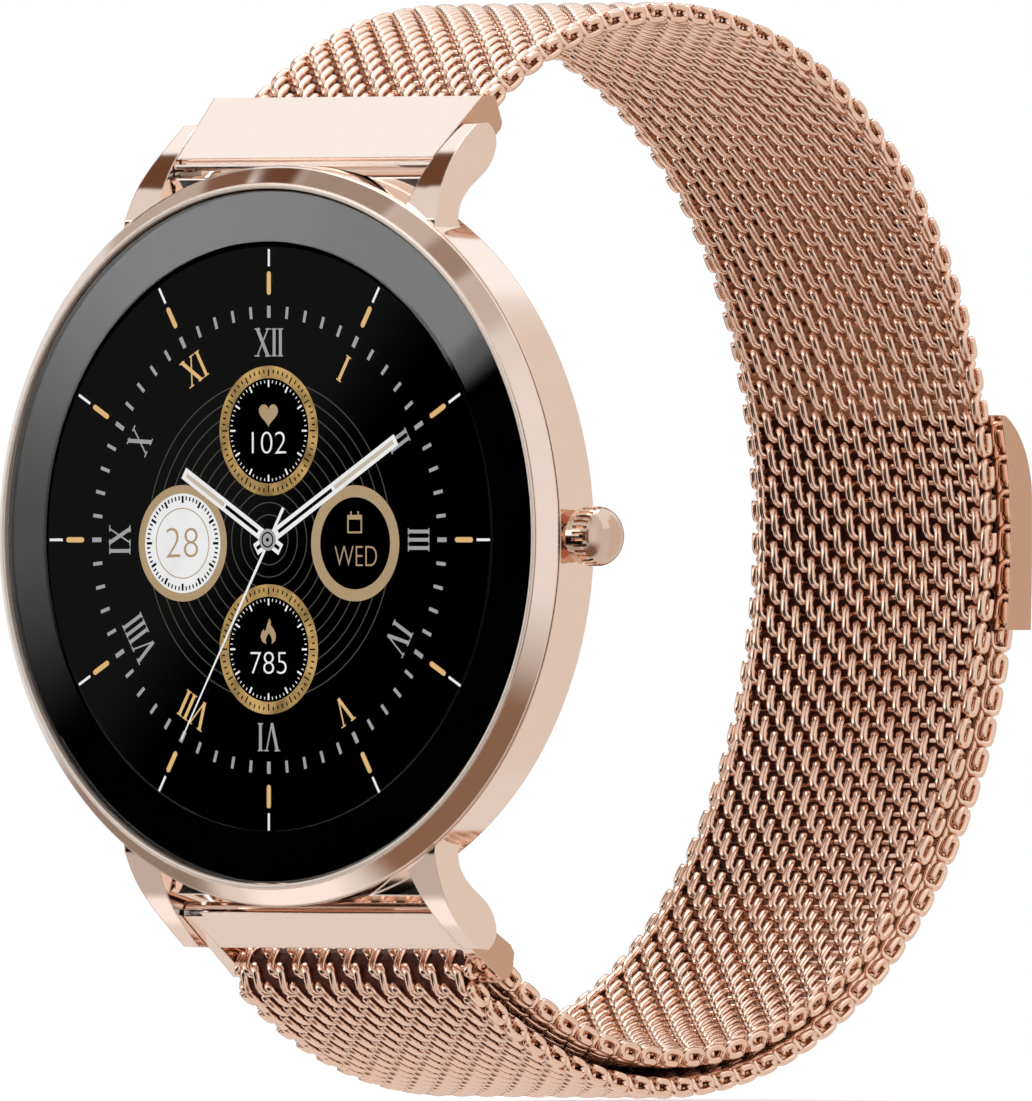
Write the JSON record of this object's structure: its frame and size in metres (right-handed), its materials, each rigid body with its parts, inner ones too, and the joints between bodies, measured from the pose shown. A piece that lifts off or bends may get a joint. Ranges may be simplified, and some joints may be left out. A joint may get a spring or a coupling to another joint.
{
  "type": "smartwatch",
  "caption": "Round rose gold smartwatch with a turning, pressing crown and a closed woven mesh band: two quick-release end links, a folded tail and a magnetic clasp tab.",
  "frame": {"origin": "centre of the domed sensor window on the case back, the point that rests on the wrist", "axes": "+Z towards twelve o'clock, +X towards the crown, +Y out of the case back, so the dial faces -Y"},
  "size_m": [0.045, 0.0567, 0.0628],
  "materials": {
    "rose_gold_case": "polished rose gold plated steel",
    "rose_gold_mesh": "woven rose gold plated steel wire",
    "crystal_glass": "clear domed cover glass",
    "sensor_glass": "dark tinted sensor glass",
    "display": "black emissive display",
    "black_plastic": "moulded black plastic",
    "back_plastic": "smooth dark back shell",
    "board": "printed circuit laminate",
    "chip": "moulded chip packages",
    "shield": "stamped shield can",
    "pouch": "foil battery pouch",
    "steel": "plain stainless steel",
    "flex": "polyimide ribbon",
    "rubber": "black elastomer",
    "gold_contact": "gold plated contact",
    "magnet": "nickel plated magnet"
  },
  "bodies": {
    "case": {"mid_case": "rose_gold_case", "bezel_ring": "rose_gold_case", "crystal": "crystal_glass", "crystal_gasket": "rubber", "display_panel": "display", "display_flex": "flex", "inner_frame": "black_plastic", "battery": "pouch", "main_board": "board", "board_chips": "chip", "processor_shield": "shield", "motor_can": "steel", "motor_shaft": "steel", "back_cover": "back_plastic", "back_gasket": "rubber", "case_screws": "steel", "sensor_window": "sensor_glass", "sensor_board": "board", "sensor_leds": "chip", "charging_contacts": "gold_contact", "charging_magnets": "magnet", "crown_tube": "rose_gold_case", "crown_switch": "black_plastic"},
    "crown_carrier": {"crown_clip": "steel"},
    "crown": {"crown_cap": "rose_gold_case", "crown_stem": "steel", "crown_seal": "rubber"},
    "motor_rotor": {"motor_rotor": "steel"},
    "upper_link": {"upper_end_link": "rose_gold_case", "upper_bar_tube": "steel", "upper_fixed_pin": "steel", "upper_bar_spring": "steel", "upper_mesh_1": "rose_gold_mesh"},
    "upper_release": {"upper_release_pin": "steel"},
    "upper_strap_mid": {"upper_mesh_2": "rose_gold_mesh"},
    "upper_strap_back": {"upper_mesh_3": "rose_gold_mesh"},
    "lower_link": {"lower_end_link": "rose_gold_case", "lower_bar_tube": "steel", "lower_fixed_pin": "steel", "lower_bar_spring": "steel", "lower_mesh_1": "rose_gold_mesh"},
    "lower_release": {"lower_release_pin": "steel"},
    "lower_strap_mid": {"lower_mesh_2": "rose_gold_mesh", "tail_mesh_1": "rose_gold_mesh"},
    "lower_strap_back": {"lower_mesh_3": "rose_gold_mesh", "tail_mesh_2": "rose_gold_mesh"},
    "tail_peel": {"tail_mesh_3": "rose_gold_mesh"},
    "clasp": {"tail_mesh_4": "rose_gold_mesh", "clasp_shell": "rose_gold_case", "clasp_magnet": "magnet"}
  },
  "joints": [
    {"name": "crown_press", "type": "slide", "parent": "case", "child": "crown_carrier", "axis": [-1, 0, 0], "range_m": [0, 0.0004], "stiffness_N_per_m": 2000, "springref_m": -0.0003},
    {"name": "crown_turn", "type": "hinge", "parent": "crown_carrier", "child": "crown", "pos_m": [0.0218, -0.0064, 0], "axis": [1, 0, 0], "continuous": true},
    {"name": "motor_spin", "type": "hinge", "parent": "case", "child": "motor_rotor", "pos_m": [-0.006, -0.00485, -0.0095], "axis": [0, 1, 0], "continuous": true},
    {"name": "upper_link_swing", "type": "hinge", "parent": "case", "child": "upper_link", "pos_m": [0, -0.0042, 0.0215], "axis": [1, 0, 0], "range_deg": [-6, 6], "stiffness_Nm_per_rad": 0.05},
    {"name": "upper_strap_fold_1", "type": "hinge", "parent": "upper_link", "child": "upper_strap_mid", "pos_m": [0, 0.011, 0.02937], "axis": [1, 0, 0], "range_deg": [-9.52, 9.52]},
    {"name": "upper_strap_fold_2", "type": "hinge", "parent": "upper_strap_mid", "child": "upper_strap_back", "pos_m": [0, 0.037, 0.02085], "axis": [1, 0, 0], "range_deg": [-3.52, 3.52]},
    {"name": "lower_link_swing", "type": "hinge", "parent": "case", "child": "lower_link", "pos_m": [0, -0.0042, -0.0215], "axis": [1, 0, 0], "range_deg": [-6.01, 6.01]},
    {"name": "lower_strap_fold_1", "type": "hinge", "parent": "lower_link", "child": "lower_strap_mid", "pos_m": [0, 0.011, -0.02906], "axis": [1, 0, 0], "range_deg": [-9.52, 9.52]},
    {"name": "lower_strap_fold_2", "type": "hinge", "parent": "lower_strap_mid", "child": "lower_strap_back", "pos_m": [0, 0.037, -0.02078], "axis": [1, 0, 0], "range_deg": [-3.52, 3.52]},
    {"name": "upper_quick_release", "type": "slide", "parent": "upper_link", "child": "upper_release", "axis": [1, 0, 0], "range_m": [0, 0.0009], "stiffness_N_per_m": 300, "springref_m": -0.001, "deforming": ["upper_bar_spring"]},
    {"name": "lower_quick_release", "type": "slide", "parent": "lower_link", "child": "lower_release", "axis": [1, 0, 0], "range_m": [0, 0.0009], "stiffness_N_per_m": 300, "springref_m": -0.001, "deforming": ["lower_bar_spring"]},
    {"name": "clasp_lift", "type": "hinge", "parent": "lower_strap_back", "child": "tail_peel", "pos_m": [0, 0.04056, -0.019], "axis": [-1, 0, 0], "range_deg": [0, 30]},
    {"name": "clasp_turn", "type": "hinge", "parent": "tail_peel", "child": "clasp", "pos_m": [0, 0.04476, -0.011], "axis": [-1, 0, 0], "range_deg": [0, 30]}
  ],
  "couplings": [
    {"joint": "upper_strap_fold_1", "follows": "upper_link_swing", "ratio": -1.5846},
    {"joint": "upper_strap_fold_2", "follows": "upper_link_swing", "ratio": 0.58462},
    {"joint": "lower_link_swing", "follows": "upper_link_swing", "ratio": -1},
    {"joint": "lower_strap_fold_1", "follows": "upper_link_swing", "ratio": 1.5846},
    {"joint": "lower_strap_fold_2", "follows": "upper_link_swing", "ratio": -0.58462}
  ]
}
